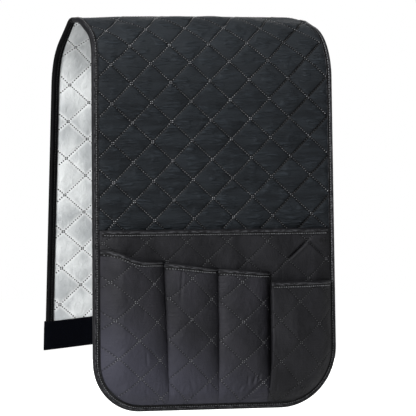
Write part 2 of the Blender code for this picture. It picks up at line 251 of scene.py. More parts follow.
# The small pockets: heights of the mouth at its two ends, the share of the width over which it slopes,
# depth, quilting as above, and creases, each (x, height) at its two ends and how deep it is
pockets = {
    "remote": dict(
        seams=(None, remote_seam), tops=(0.2020, 0.1880), slope_share=0.60, depth=0.0150, free_left=False,
        quilting=(-0.1139, 0.0895, 0.0549, 0.0477, -0.050, -0.091), seed=11, cloth="black_pocket",
        glint=1.0,
        creases=(((-0.1337, 0.1070), (-0.1244, 0.0996), 0.8), ((-0.1042, 0.0732), (-0.1023, 0.0584), 1.0),
                 ((-0.0978, 0.0768), (-0.0886, 0.0673), 0.6), ((-0.1084, 0.1323), (-0.1088, 0.1177), 0.4),
                 ((-0.1010, 0.0278), (-0.0988, 0.0155), 0.6),
                 ((-0.1489, 0.0785), (-0.1447, 0.0636), 0.4))),
    "glasses": dict(
        seams=(remote_seam, glasses_seam), tops=(0.1840, 0.1780), slope_share=1.0, depth=0.0110,
        free_left=False, quilting=(-0.0703, 0.0894, 0.0555, 0.0513, -0.024, 0.020), seed=12,
        cloth="black_pocket", glint=0.7,
        creases=(((-0.0542, 0.1773), (-0.0564, 0.1404), 0.9), ((-0.0421, 0.0389), (-0.0403, 0.0313), 0.6),
                 ((-0.0668, 0.0342), (-0.0607, 0.0241), 0.5))),
    "pen": dict(
        seams=(glasses_seam, pen_edge), tops=(0.1760, 0.1720), slope_share=1.0, depth=0.0100,
        free_left=False, quilting=(0.0280, 0.1101, 0.0571, 0.0500, -0.062, -0.011), seed=13,
        cloth="black_pocket", glint=0.9,
        creases=(((0.0576, 0.0367), (0.0255, 0.0093), 1.3), ((0.0364, 0.0410), (0.0349, 0.0307), 1.0),
                 ((0.0461, 0.0427), (0.0431, 0.0322), 1.2), ((0.0527, 0.0440), (0.0491, 0.0354), 1.0),
                 ((0.0412, 0.0146), (0.0631, 0.0159), 0.9), ((0.0301, 0.0321), (0.0250, 0.0246), 0.7),
                 ((0.0482, 0.0097), (0.0640, 0.0127), 0.8))),
    "phone": dict(
        seams=(pen_seam, None), tops=(0.1590, 0.1600), slope_share=1.0, depth=0.0170, free_left=True,
        quilting=(0.1033, 0.1345, 0.0547, 0.0515, -0.087, -0.018), seed=14, cloth="shaded_pocket",
        glint=0.4,
        creases=(((0.1139, 0.0339), (0.1243, 0.0390), 0.8), ((0.1028, 0.0129), (0.1368, 0.0176), 1.0),
                 ((0.1093, 0.0062), (0.1313, 0.0105), 0.9), ((0.0947, 0.1198), (0.0951, 0.0994), 0.3),
                 ((0.0922, 0.0243), (0.1069, 0.0297), 0.8))),
}

# Painted shade of the cloth in needle holes and tucks, and along stitched lines
shade_black = (0.0008, 0.0008, 0.0010, 1)
line_shade_black = (0.004, 0.004, 0.005, 1)
weave_pitch = 0.0007
weave_depth = 0.00004
tape_rib = 0.0011

# The studio
floor_height = -0.60
floor_size = 14.0
floor_grey = (0.86, 0.86, 0.86, 1)
floor_glow = 0.74
world_strength = 0.27
lamp_aim = (0.0, 0.0, -0.2)
lamps = (("key_lamp", (-3.0, -2.1, 2.3), 1.0, 215.0), ("low_lamp", (-1.25, -1.15, -0.55), 0.5, 2.5),
         ("rear_lamp", (1.2, 3.4, 0.5), 2.2, 55.0))


def eased(value):
    """0 to 1 with level ends: 3 v^2 - 2 v^3."""
    held = np.clip(value, 0, 1)
    return held * held * (3 - 2 * held)


def mixed(bends, share):
    """Bends at a share of the strip's width, eased from the left edge's to the middle's and on to the
    right's."""
    near, far = eased(2 * share), eased(2 * share - 1)
    return [[a + (b - a) * near + (c - b) * far for a, b, c in zip(*rows)] for rows in zip(*bends)]


def side_view(bends, run, level):
    """Depth and height of places on one side: run along the lining from the ridge, level above it. They lie
    along the seat, round each bend in turn and then straight on. A stretch of a bend that turns by an angle
    spans length * sin(angle / 2) / (angle / 2), in the direction half way through the angle."""
    depth = np.minimum(run, seat_half)
    height = 0 * depth
    start, heading, left = 0.0, 0.0, run - seat_half
    for length, turn in bends:
        part = np.clip(left, 0, length)
        half = turn * part / length / 2
        span = part * np.sinc(half / math.pi)
        depth = depth + span * np.cos(start + half)
        height = height - span * np.sin(start + half)
        start, heading, left = start + turn, heading + 2 * half, left - length
    straight = np.maximum(left, 0)
    depth = depth + straight * np.cos(heading) + level * np.sin(heading)
    height = height - straight * np.sin(heading) + level * np.cos(heading)
    return depth, height


def fold_end(bends):
    """Run, depth and height at which a side's last bend ends."""
    run = seat_half + sum(length for length, turn in bends)
    return (run, *side_view(bends, run, 0.0))


def front_run(share):
    """The cloth's length from the ridge to the front flap's lower edge, at a share of the strip's width."""
    run, depth, height = fold_end(mixed(front_bends, share))
    return run + front_drop + height


def rear_run():
    """The cloth's length from the ridge to the rear flap's lower edge, at the strip's left edge."""
    run, depth, height = fold_end(rear_bends[0])
    return run + (rear_drop + height) / math.sin(sum(turn for length, turn in rear_bends[0]))


cloth_length = front_run(0.0) + rear_run()


def drape(x, along, level):
    """Flat places hung over the armrest. The front flap hangs in one plane, so where the fold is wider the
    ridge lies further back. The ridge droops a little at both edges of the strip, the front flap flares to
    its right, the rear flap a little to its left, and its lower edge rises a little from its left
    corner."""
    x, along, level = np.broadcast_arrays(np.asarray(x, float), along, level)
    share = np.clip(x / strip_width + 0.5, 0, 1)
    front, rear = mixed(front_bends, share), mixed(rear_bends, share)
    ridge = fold_end(front)[1] - fold_end(front_bends[0])[1]
    run = along - front_run(share)
    front_depth, front_height = side_view(front, np.abs(run), level)
    rear_depth, rear_height = side_view(rear, np.abs(run), level)
    depth = ridge + np.where(run < 0, -front_depth, rear_depth)
    height = np.where(run < 0, front_height, rear_height)
    droop = (left_droop * np.exp(-((x + half_width) / left_droop_width) ** 2)
             + right_droop * np.exp(-((x - half_width) / right_droop_width) ** 2))
    near = np.clip(1 - np.abs(run) / droop_run, 0, 1)
    height = height - droop * near * near * (3 - 2 * near)
    lift = rear_lift_right - (rear_lift_right - rear_lift_left) * np.exp(-(x + half_width) / rear_lift_width)
    height = height + lift * np.clip(run / rear_drop, 0, 1)
    drop = np.where(run < 0, np.clip(-height / front_drop, 0, 1), 0)
    out = rear_flare * eased(run / droop_run) * np.exp(-(x + half_width) / rear_flare_width)
    return np.stack([x + share * (flare_high + (flare_low - flare_high) * drop) - out, depth, height], -1)


def crumpled(x, along, size, seed, waves=7):
    """Soft wrinkles between -1 and 1: the mean of sine waves whose directions, lengths and phases are drawn
    from the seed, each bent by the one before."""
    draw = np.random.default_rng(seed)
    total, bend = 0.0, 0.0
    for k in range(waves):
        way, phase = draw.uniform(0, math.tau, 2)
        length = size * draw.uniform(0.6, 1.6)
        wave = np.sin(math.tau * (x * math.cos(way) + along * math.sin(way)) / length + phase + bend)
        total, bend = total + wave, 1.3 * wave
    return total / waves


def wrinkled(x, along, layers):
    """Soft wrinkles in layers, added up. Each is stretched across, and has a size, a seed and a depth."""
    return sum(crumpled(x / stretch, along, size, seed) * depth for stretch, size, seed, depth in layers)


def diamonds(x, along, lattice):
    """Places in the quilting: p and q, whole numbers on the stitched lines that fall and rise to the right.
    With u and v the distances from a crossing in diamonds, p = u + v and q = u - v."""
    start_x, start_along, width, height, rise, lean = lattice
    over, up = x - start_x, along - start_along
    straight = 1 - rise * lean
    u, v = (over - lean * up) / straight / width, (up - rise * over) / straight / height
    return u + v, u - v


def undiamonds(p, q, lattice):
    """The flat place of a place in the quilting."""
    start_x, start_along, width, height, rise, lean = lattice
    over, up = (p + q) / 2 * width, (p - q) / 2 * height
    return start_x + over + lean * up, start_along + up + rise * over


def drawn(along):
    """Cloth lengths as the quilting is drawn: it runs a little faster over the fold and down the rear."""
    return np.interp(along, drawn_from, drawn_to)


def pillowed(p, q, fullness=0.42):
    """Height of the stuffed diamonds between 0 on the lines and 1: |sin(pi p) sin(pi q)| to a power."""
    return np.abs(np.sin(math.pi * p) * np.sin(math.pi * q)) ** fullness


def edge_reach(along, radius, inset):
    """How far the front flap reaches from its middle at a height, drawn in by inset round a corner's
    radius."""
    below = np.clip(radius - along, 0, radius - inset)
    return half_width - radius + np.sqrt((radius - inset) ** 2 - below ** 2)


def made_piece(name, points, faces, finish, flat=None, lattice=None):
    """A mesh from points and index arrays of faces, turned to face outwards if it encloses a negative
    volume, with the flat place and the quilting place of each point as UV maps."""
    volume = 0.0
    for block in faces:
        a, b, c = (points[block[:, k]] for k in (0, 1, 2))
        volume += np.einsum("ij,ij->", a, np.cross(b, c))
        if block.shape[1] == 4:
            volume += np.einsum("ij,ij->", a, np.cross(c, points[block[:, 3]]))
    if volume < 0:
        faces = [block[:, ::-1] for block in faces]
    corners = np.concatenate([block.ravel() for block in faces]).astype(np.int32)
    sizes = np.concatenate([np.full(len(block), block.shape[1]) for block in faces])
    mesh = bpy.data.meshes.new(name)
    mesh.vertices.add(len(points))
    mesh.vertices.foreach_set("co", points.astype(np.float32).ravel())
    mesh.loops.add(len(corners))
    mesh.loops.foreach_set("vertex_index", corners)
    mesh.polygons.add(len(sizes))
    mesh.polygons.foreach_set("loop_start", (np.cumsum(sizes) - sizes).astype(np.int32))
    mesh.update(calc_edges=True)
    mesh.shade_smooth()
    for label, places in (("flat", flat), ("diamonds", lattice)):
        if places is not None:
            layer = mesh.uv_layers.new(name=label)
            layer.data.foreach_set("uv", places[corners].astype(np.float32).ravel())
    mesh.materials.append(finish)
    made = bpy.data.objects.new(name, mesh)
    bpy.context.scene.collection.objects.link(made)
    return made


def sheet_faces(columns, rows):
    """Quads of a closed sheet: a grid's outer side, then its inner side, and a rim between them."""
    index = np.arange(columns * rows).reshape(columns, rows)
    a, b, c, d = index[:-1, :-1], index[1:, :-1], index[1:, 1:], index[:-1, 1:]
    outer = np.stack([a, b, c, d], -1).reshape(-1, 4)
    inner = outer[:, ::-1] + columns * rows
    loop = np.concatenate([index[:, 0], index[-1, 1:], index[-2::-1, -1], index[0, -2:0:-1]])
    after = np.roll(loop, -1)
    rim = np.stack([after, loop, loop + columns * rows, after + columns * rows], -1)
    return np.concatenate([outer, inner, rim])


def made_sheet(name, x, along, outer, inner, finish, lattice=None):
    """A closed sheet of cloth between two levels over a grid of flat places."""
    points = np.concatenate([drape(x, along, outer).reshape(-1, 3), drape(x, along, inner).reshape(-1, 3)])
    flat = np.stack([x, along], -1).reshape(-1, 2)
    quilted = None
    if lattice is not None:
        quilted = np.tile(np.stack(lattice, -1).reshape(-1, 2), (2, 1))
    return made_piece(name, points, [sheet_faces(*x.shape)], finish, np.tile(flat, (2, 1)), quilted)


def strip_grid(rear, steps, inset):
    """Flat places over half of the strip, from the ridge to one end, in steps that meet the quilting's
    lines: as many to half a diamond both ways. Closing columns and rows fill up to the strip's edges, which
    the quilting's own columns and rows meet aslant. The front half's columns close in round its lower
    corners."""
    start_x, start_along, width, height, rise, lean = quilting
    reach = half_width - inset
    ends = front_run(np.array([0.0, 0.5, 1.0]))
    low, high = (ends.max(), cloth_length - band_overlap) if rear else (inset, ends.min())
    low, high = drawn(low) - start_along, drawn(high) - start_along
    across, down = width / 2 / steps, height / 2 / steps
    columns = np.arange(math.ceil((-reach - start_x - lean * high) / across + 0.4),
                        math.floor((reach - start_x - lean * low) / across - 0.4) + 1)
    rows = np.arange(math.ceil((low + rise * (reach + start_x)) / down + 0.4),
                     math.floor((high - rise * (reach - start_x)) / down - 0.4) + 1)
    u, v = columns[:, None] / (2 * steps), rows[None, :] / (2 * steps)
    x, along = undiamonds(u + v, u - v, quilting)
    share = np.linspace(0, 1, side_columns + 1)[:-1, None]
    left = -reach + (x[0] + reach) * share
    right = (reach + (x[-1] - reach) * share)[::-1]
    along = np.concatenate([along[0] + rise * (left - x[0]), along, along[-1] + rise * (right - x[-1])])
    x = np.concatenate([left, x, right])
    share = np.linspace(0, 1, end_rows + 1)[None, :-1]
    ridge = drawn(front_run(x / strip_width + 0.5))
    first = ridge[:, :1] if rear else 0 * x[:, :1] + drawn(inset)
    last = 0 * x[:, -1:] + drawn(cloth_length - band_overlap) if rear else ridge[:, -1:]
    lower = first + (along[:, :1] - first) * share
    upper = (last + (along[:, -1:] - last) * share)[:, ::-1]
    along = np.interp(np.concatenate([lower, along, upper], 1), drawn_to, drawn_from)
    x = np.concatenate([x[:, :1] + 0 * lower, x, x[:, -1:] + 0 * upper], 1)
    if rear:
        return x, along
    left, right = edge_reach(along, left_radius, inset), edge_reach(along, right_radius, inset)
    return -left + (left + right) * (x + reach) / (2 * reach), along


def from_edge(x, along, rear):
    """Rough distance in from the strip's outer edge."""
    side = half_width - np.abs(x)
    if rear:
        return side
    radius = np.where(x < 0, left_radius, right_radius)
    corner = radius - np.hypot(np.maximum(np.abs(x) - half_width + radius, 0), np.maximum(radius - along, 0))
    return np.where((side < radius) & (along < radius), corner, np.minimum(side, along))


def quilt_loft(x, along, rear):
    """How far the quilt is puffed up at a place: 0 on the stitched lines and under the edge tape, 1 at
    most. Over the ridge it is drawn flatter."""
    from_ridge = (along - front_run(x / strip_width + 0.5)) / ridge_reach
    return (eased((from_edge(x, along, rear) - binding_width * pressed_share) / press_width)
            * (1 - ridge_flat * np.exp(-from_ridge ** 2)) * pillowed(*diamonds(x, drawn(along), quilting)))


def shell_top(x, along, rear):
    """Level of the outer cloth: its puffs, with streaks across the strip and soft creases in them."""
    return shell_level + quilt_loft(x, along, rear) * (shell_puff + wrinkled(x, along, shell_creases))


def lining_bottom(x, along, rear):
    """Level of the lining's face against the armrest, which ripples more than the outer cloth."""
    return lining_level - quilt_loft(x, along, rear) * (lining_puff + wrinkled(x, along, lining_ripples))


def quilt_layers(rear, finishes):
    """The outer cloth, the lining and the wadding of one half of the strip."""
    word = "rear" if rear else "front"
    x, along = strip_grid(rear, quilt_steps, edge_room)
    lattice = diamonds(x, drawn(along), quilting)
    outer = shell_top(x, along, rear)
    shell = made_sheet(f"outer_quilt_{word}", x, along, outer, outer - shell_thickness,
                       finishes["black_quilt"], lattice)
    lower = lining_bottom(x, along, rear)
    lining = made_sheet(f"lining_{word}", x, along, lower + lining_thickness, lower,
                        finishes["silver_lining"], lattice)
    wide_x, wide_along = strip_grid(rear, wadding_steps, wadding_room)
    flat = 0 * wide_x
    wadding = made_sheet(f"wadding_{word}", wide_x, wide_along, flat + wadding_high, flat + wadding_low,
                         finishes["white_wadding"])
    return shell, lining, wadding


def threads(name, places, ways, levels, long, wide, finish, slot="black_tape",
            shine=plain_shine):
    """Stitches lying on the cloth. Each is a rounded bead along its way: two rings of points between two
    end points, flattened a little. shine, from 0 to 1 for each, goes into the UV map."""
    k = np.arange(bead_sides)
    turn = k * math.tau / bead_sides
    ring = np.stack([0 * turn, np.cos(turn), bead_flat * np.sin(turn)], -1)
    shift = np.array([bead_taper, 0.0, 0.0])
    unit = np.concatenate([[[-1.0, 0, 0]], ring - shift, ring + shift, [[1.0, 0, 0]]])
    lengthways = unit[None, :, :1] * ways[:, None, :] * long / 2
    sideways = unit[None, :, 1:2] * np.stack([-ways[:, 1], ways[:, 0]], -1)[:, None, :] * wide / 2
    flat = places[:, None, :] + lengthways + sideways
    level = levels[:, None] + unit[None, :, 2] * wide / 2
    points = drape(flat[..., 0], flat[..., 1], level).reshape(-1, 3)
    near, near_after = 1 + k, 1 + (k + 1) % bead_sides
    far, far_after = near + bead_sides, near_after + bead_sides
    ends = np.concatenate([np.stack([0 * k, near_after, near], -1),
                           np.stack([0 * k + len(unit) - 1, far, far_after], -1)])
    sides = np.stack([near, near_after, far_after, far], -1)
    offset = (np.arange(len(places)) * len(unit))[:, None, None]
    shine = np.broadcast_to(shine, len(places))
    shone = np.repeat(np.stack([shine, 0 * shine], -1), len(unit), 0)
    faces = [(ends + offset).reshape(-1, 3), (sides + offset).reshape(-1, 4)]
    return made_piece(name, points, faces, finish, shone)


def line_stitches(lattice, inside, placed=lambda x, along: (x, along)):
    """Places, ways and shine of the stitches along the quilting's lines, kept where inside(x, along) is
    true. On lines of constant p the stitches lie at even steps of q, and the other way about. They shine
    near crossings."""
    lines, steps = np.meshgrid(np.arange(-30, 31), np.arange(-30 * stitches_a_side, 30 * stitches_a_side))
    fixed, moving = lines.ravel(), (steps.ravel() + 0.5) / stitches_a_side
    width, height, rise, lean = lattice[2:]
    places, ways, shine = [], [], []
    for p, q, fall in ((fixed, moving, -1), (moving, fixed, 1)):
        x, along = placed(*undiamonds(p, q, lattice))
        kept = inside(x, along)
        places.append(np.stack([x, along], -1)[kept])
        way = np.array([width + fall * lean * height, fall * height + rise * width])
        ways.append(np.tile(way / np.hypot(*way), (kept.sum(), 1)))
        shine.append(np.abs(np.cos(math.pi * moving[kept])) ** 3)
    return np.concatenate(places), np.concatenate(ways), np.concatenate(shine)


def quilt_stitches(rear, thread_grey, thread_black):
    """The quilting's stitches on one half of the strip: grey on the outer cloth, black on the lining."""
    word = "rear" if rear else "front"

    def inside(x, along):
        ridge = front_run(x / strip_width + 0.5)
        half = (along > ridge) & (along < cloth_length - end_room) if rear else (along > 0.0) & (along < ridge)
        return half & (from_edge(x, along, rear) > binding_width + tape_room)

    places, ways, shine = line_stitches(quilting, inside,
                                        lambda x, along: (x, np.interp(along, drawn_to, drawn_from)))
    x, along = places.T
    # Painted shade dims the stitches on the rising lines to the right, where the cloth folds in
    dimmed = tuck_shade_dim * eased((x - tuck_start) / tuck_reach) * (ways[:, 1] > 0)
    shine = (quilt_shine[0] + quilt_shine[1] * shine) * (1 - dimmed)
    outside = threads(f"quilting_outer_{word}", places, ways, shell_top(x, along, rear) + quilt_lift,
                      *outer_stitch, thread_grey, "black_quilt", shine)
    beneath = threads(f"quilting_lining_{word}", places, ways, lining_bottom(x, along, rear) - quilt_lift,
                      *lining_stitch, thread_black, "black_quilt")
    return outside, beneath


def tape(name, path, inward, base, thick, width, finish):
    """Tape folded round an edge. path holds flat places along the fold and inward the directions in from
    it; base is the level of the edge's middle and thick its half thickness. Across the tape, the section is
    a leg, half an ellipse round the fold and a leg back, with its middle pressed down where it is sewn."""
    reach = width - thick.mean()
    leg = np.linspace(width, width - reach, tape_legs)[:-1]
    angle = np.linspace(-math.pi / 2, math.pi / 2, tape_turns)
    nose = (width - reach) * (1 - np.cos(angle))
    inwards = np.concatenate([leg, nose, leg[::-1]])
    side = np.concatenate([np.full(len(leg), -1.0), np.sin(angle), np.full(len(leg), 1.0)])
    dip = tape_dip * np.exp(-((inwards - sewn_share * width) / (tape_dip_width * width)) ** 2)
    swell = 1 + tape_swell * np.sin(np.clip(inwards / width, 0, 1) * math.pi * 2) - dip
    rings = []
    for inner in (0.0, tape_thickness):
        reach_in = inwards + inner * np.where(np.abs(side) < 1, np.cos(np.arcsin(np.clip(side, -1, 1))), 0)
        level = base[:, None] + side * (thick[:, None] * swell - inner)
        x = path[:, :1] + inward[:, :1] * reach_in
        along = path[:, 1:] + inward[:, 1:] * reach_in
        rings.append(drape(x, along, level).reshape(-1, 3))
    travelled = np.concatenate([[0], np.cumsum(np.hypot(*np.diff(path, axis=0).T))])
    across = np.concatenate([[0], np.cumsum(np.hypot(np.diff(inwards), np.diff(side * thick.mean())))])
    flat = np.stack(np.broadcast_arrays(travelled[:, None], across[-1] - across[None, :]), -1).reshape(-1, 2)
    return made_piece(name, np.concatenate(rings), [sheet_faces(len(path), len(inwards))], finish,
                      np.tile(flat, (2, 1)))


def tape_stitches(name, path, inward, inwards, level, finish):
    """Stitches along a tape, at a distance in from its fold and a step apart."""
    step = tape_stitch_step
    travelled = np.concatenate([[0], np.cumsum(np.hypot(*np.diff(path, axis=0).T))])
    at = np.arange(step, travelled[-1] - step, step)
    fold = np.stack([np.interp(at, travelled, column) for column in path.T], -1)
    into = np.stack([np.interp(at, travelled, column) for column in inward.T], -1)
    into /= np.hypot(*into.T)[:, None]
    ways = np.stack([into[:, 1], -into[:, 0]], -1)
    levels = np.interp(at, travelled, level)
    return threads(name, fold + into * inwards, ways, levels, step * tape_stitch_share, tape_stitch_width,
                   finish)


def front_outline(step):
    """The front flap's edge from the ridge down the left side, round both corners and up to the ridge
    again: flat places and inward directions."""
    places, ways = [], []
    low, high = left_radius, front_run(0.0)
    count = round((high - low) / step)
    for along in np.linspace(high, low, count, endpoint=False):
        places.append((-half_width, along))
        ways.append((1.0, 0.0))
    for radius, centre, start in ((left_radius, left_radius - half_width, math.pi),
                                  (right_radius, half_width - right_radius, 1.5 * math.pi)):
        if start > math.pi:
            for x in np.arange(left_radius - half_width + step, centre, step):
                places.append((x, 0.0))
                ways.append((0.0, 1.0))
        for angle in np.linspace(start, start + math.pi / 2, round(radius * math.pi / 2 / step)):
            places.append((centre + radius * math.cos(angle), radius + radius * math.sin(angle)))
            ways.append((-math.cos(angle), -math.sin(angle)))
    top = front_run(1.0)
    for along in np.linspace(right_radius, top, round((top - right_radius) / step))[1:]:
        places.append((half_width, along))
        ways.append((-1.0, 0.0))
    return np.array(places), np.array(ways)


def seam_place(seam, height):
    """Where a seam between pockets lies at a height: each seam is its x at the pocket's top and at the
    foot."""
    return seam[1] + (seam[0] - seam[1]) * np.clip(height / seam_height, 0, 1)


def pocket_sides(left, right, height):
    """A pocket's left and right edge at a height: a seam, or the edge tape round the flap's corner."""
    start = (-edge_reach(height, left_radius, pocket_inset) if left is None
             else seam_place(left, height) + seam_gap)
    end = (edge_reach(height, right_radius, pocket_inset) if right is None
           else seam_place(right, height) - seam_gap)
    return start, end


def creased(x, along, lines, width, deepest):
    """Depth of sharp creases, up to the deepest: each line is (x, along) at its two ends and how deep it
    is. A crease is exp(-(distance / width)^2) across and fades past both ends, with a raised fold beside
    it."""
    total = 0 * x
    for (x0, y0), (x1, y1), depth in lines:
        way = np.array([x1 - x0, y1 - y0])
        long = math.hypot(*way)
        way = way / long
        run = ((x - x0) * way[0] + (along - y0) * way[1]) / long
        off = (along - y0) * way[0] - (x - x0) * way[1]
        fade = np.exp(-((run - 0.5) / 0.55) ** 4)
        groove = np.exp(-(off / width) ** 2) - crease_raised * np.exp(-((off - 2 * width) / width) ** 2)
        total = total + depth * fade * groove
    return total * deepest


def magazine_level(x, height):
    """Level of the magazine panel's outer side: it stands off by its depth, but is sewn down at its sides
    and foot, and is softly quilted."""
    left, right = pocket_sides(None, None, height)
    rise = np.clip((height - pocket_inset) / magazine_foot, 0, 1)
    near = np.clip(np.minimum(x - left, right - x) / magazine_side, 0, 1)
    stand = magazine_depth * np.sin(rise * math.pi / 2) * np.sin(near * math.pi / 2)
    hold = eased(near * 2) * eased((magazine_top - magazine_mouth_flat - height) / magazine_mouth_ease)
    loft = hold * pillowed(*diamonds(x, height, magazine_quilting))
    soft = (wrinkled(x, height, magazine_wrinkles)
            - creased(x, height, magazine_creases, *magazine_crease))
    return pocket_level + pocket_cloth + stand + loft * magazine_loft + soft * hold


def pocket_top(name, share):
    """Height of a small pocket's mouth at a share of its width."""
    top = pockets[name]["tops"]
    return top[0] + (top[1] - top[0]) * eased(share / pockets[name]["slope_share"])


def small_level(name, x, height):
    """Level of a small pocket's outer side. It stands off the magazine panel by its depth times its crown
    times sin(pi/2 times its rise). The crown is 1 - |2s - 1|^3 across, or 1 - s^4 where only the right side
    is sewn, and there the free left edge is rolled back in a quarter of a circle."""
    form = pockets[name]
    left, right = pocket_sides(*form["seams"], height)
    share = np.clip((x - left) / (right - left), 0, 1)
    rise = np.clip((height - pocket_inset) / (pocket_top(name, share) - pocket_inset), 0, 1)
    crown = 1 - share ** 4 if form["free_left"] else 1 - np.abs(2 * share - 1) ** 3
    stand = form["depth"] * crown * np.sin(np.clip(rise / open_share, 0, 1) * math.pi / 2)
    sewn = 1 - share if form["free_left"] else np.minimum(share, 1 - share)
    hold = eased(sewn / hold_side) * eased(rise / hold_foot)
    loft = hold * eased((1 - rise) / hold_mouth) * pillowed(*diamonds(x, height, form["quilting"]))
    soft = crumpled(x, height, wrinkle_size, form["seed"]) * wrinkle_depth * np.sin(rise * math.pi)
    gather = crumpled(foot_gather_stretch * x, height / foot_gather_stretch, foot_gather_size,
                      form["seed"] + 20)
    soft = soft + gather * foot_gather * np.exp(-(height - pocket_inset) / foot_gather_reach)
    rolled = 1 - np.clip((x - left) / fold_roll, 0, 1) if form["free_left"] else 0.0
    back_roll = fold_roll * (1 - np.sqrt(1 - rolled * rolled))
    fold = creased(x, height, form["creases"], *pocket_crease)
    back = magazine_level(np.clip(x, *pocket_sides(None, None, height)), height)
    back = np.minimum(back, pocket_level + pocket_cloth + magazine_depth)
    return back + pocket_cloth + small_gap + stand + loft * pocket_loft + (soft - fold) * hold - back_roll


def mouth_tape(name, x, height, level, finish, thread):
    """The tape folded over a pocket's mouth, with a row of stitches along it."""
    path = np.stack([x, height + hem_rise], -1)
    down = np.tile([0.0, -1.0], (len(path), 1))
    middle = level - pocket_cloth / 2
    half = 0 * middle + hem_half
    return [tape(f"{name}_mouth_tape", path, down, middle, half, hem_height, finish),
            tape_stitches(f"{name}_mouth_stitches", path, down, hem_height * hem_sewn_share, middle + half,
                          thread)]


def off_seams(x, height, seams, top):
    """True where a stitch keeps clear of a pocket's sides, its foot and the tape over its mouth."""
    left, right = pocket_sides(*seams, height)
    return ((x > left + stitch_seam_room) & (x < right - stitch_seam_room) & (height > stitch_foot_room)
            & (height < top - hem_height))


def pocket_stitches(name, lattice, keep, level, thread, glint):
    """The quilting's stitches on a pocket, where keep(x, height) is true. They shine by glint at most."""
    places, ways, shine = line_stitches(lattice, keep)
    return threads(f"{name}_quilting", places, ways, level(*places.T) + thread_lift, *pocket_stitch, thread,
                   "black_pocket", glint * (pocket_shine[0] + pocket_shine[1] * shine))


def magazine_panel(finishes):
    """The wide panel behind the small pockets, the tape over its mouth, its stitches and its bar tacks."""
    columns, rows = magazine_grid
    share = np.linspace(0, 1, columns)[:, None]
    rise = np.linspace(0, 1, rows)[None, :]
    height = pocket_inset + (magazine_top - pocket_inset) * rise + 0 * share
    left, right = pocket_sides(None, None, height)
    x = left + (right - left) * share
    outer = magazine_level(x, height)
    panel = made_sheet("magazine_panel", x, height, outer, outer - pocket_cloth, finishes["shaded_pocket"],
                       diamonds(x, height, magazine_quilting))
    trims = mouth_tape("magazine", x[2:-2, -1], height[2:-2, -1], outer[2:-2, -1], finishes["black_tape"],
                       finishes["grey_thread"])
    trims.append(pocket_stitches("magazine", magazine_quilting,
                                 lambda x, height: off_seams(x, height, (None, None), magazine_top),
                                 magazine_level, finishes["grey_thread"], magazine_glint))
    places = np.array([(x + step * bar_tack_step, bar_tack_height) for x in bar_tacks for step in (-1, 0, 1)])
    trims.append(threads("magazine_bar_tacks", places, np.tile([0.0, 1.0], (len(places), 1)),
                         magazine_level(*places.T) + bar_lift, *bar_stitch, finishes["black_thread"]))
    return panel, trims


def small_pocket(name, finishes):
    """A small pocket's panel, the tape over its mouth and its stitches."""
    form = pockets[name]
    columns, rows = pocket_grid
    share = np.linspace(0, 1, columns)[:, None] ** (fold_crowding if form["free_left"] else 1.0)
    rise = np.linspace(0, 1, rows)[None, :]
    height = pocket_inset + (pocket_top(name, share) - pocket_inset) * rise
    left, right = pocket_sides(*form["seams"], height)
    x = left + (right - left) * share
    outer = small_level(name, x, height)
    panel = made_sheet(f"{name}_panel", x, height, outer, outer - pocket_cloth, finishes[form["cloth"]],
                       diamonds(x, height, form["quilting"]))
    trims = mouth_tape(name, x[:, -1], height[:, -1], outer[:, -1], finishes["black_tape"],
                       finishes["grey_thread"])

    def keep(x, height):
        left, right = pocket_sides(*form["seams"], height)
        top = pocket_top(name, np.clip((x - left) / (right - left), 0, 1))
        return off_seams(x, height, form["seams"], top)

    trims.append(pocket_stitches(name, form["quilting"], keep,
                                 lambda x, height: small_level(name, x, height), finishes["grey_thread"],
                                 form["glint"]))
    return panel, trims


def phone_pleat(finish):
    """The pleat under the phone pocket's free left edge: from the edge's fold it runs back to the magazine
    panel and a little to the right, easing in and out."""
    columns, rows = pleat_grid
    share = np.linspace(0, 1, columns)[:, None]
    high = pocket_top("phone", 0.0) - hem_height - pleat_gap
    height = np.linspace(pleat_foot, high, rows)[None, :] + 0 * share
    fold = pocket_sides(*pockets["phone"]["seams"], height)[0]
    top = small_level("phone", fold, height) - pocket_cloth - pleat_under
    base = magazine_level(fold + pleat_base, height) + pleat_gap + pocket_cloth
    x = fold + pleat_start + pleat_reach * eased(share) ** pleat_easing
    level = top + (np.minimum(base, top) - top) * share
    return made_sheet("phone_pleat", x, height, level, level - pocket_cloth, finish,
                      diamonds(x, height, pockets["phone"]["quilting"]))


def end_band(finish):
    """The velvet sleeve over the rear end. Round its section it is a leg, half an ellipse round the strip's
    end and a leg back, and its thickness closes towards both sides as the root of 1 - |x / reach|^60."""
    reach = half_width + band_past_side
    bunched = np.sin(np.linspace(-math.pi / 2, math.pi / 2, band_columns))[:, None]
    x = (bunched * 0.5 + np.linspace(-0.5, 0.5, band_columns)[:, None]) * reach
    mouth, end, nose = cloth_length - band_height, cloth_length + band_past_end, band_nose
    leg = np.linspace(mouth, end - nose, band_legs)
    angle = np.linspace(math.pi / 2, -math.pi / 2, band_turns)
    along = np.concatenate([leg[:-1], end - nose + nose * np.cos(angle), leg[::-1][1:]])[None, :]
    side = np.concatenate([np.ones(band_legs - 1), np.sin(angle), -np.ones(band_legs - 1)])[None, :]
    closing = np.sqrt(1 - np.clip(np.abs(x) / (reach + 0.0001), 0, 1) ** 60)
    middle, half = (tape_low + tape_high) / 2, (tape_high - tape_low) / 2 + band_room
    wave = wrinkled(x, along, band_waves) * np.clip((along - mouth) / band_wave_start, 0, 1)
    grids = []
    for inner in (0.0, band_cloth):
        level = middle + side * (half - inner) * closing + wave
        drawn_in = along - 0.5 * inner * (np.abs(side) < 1)
        grids.append(drape(x * (1 - inner / reach), drawn_in, level).reshape(-1, 3))
    flat = np.stack(np.broadcast_arrays(x, along + 0.2 * (side < 0)), -1).reshape(-1, 2)
    return made_piece("velvet_band", np.concatenate(grids), [sheet_faces(len(x), along.shape[1])], finish,
                      np.tile(flat, (2, 1)))


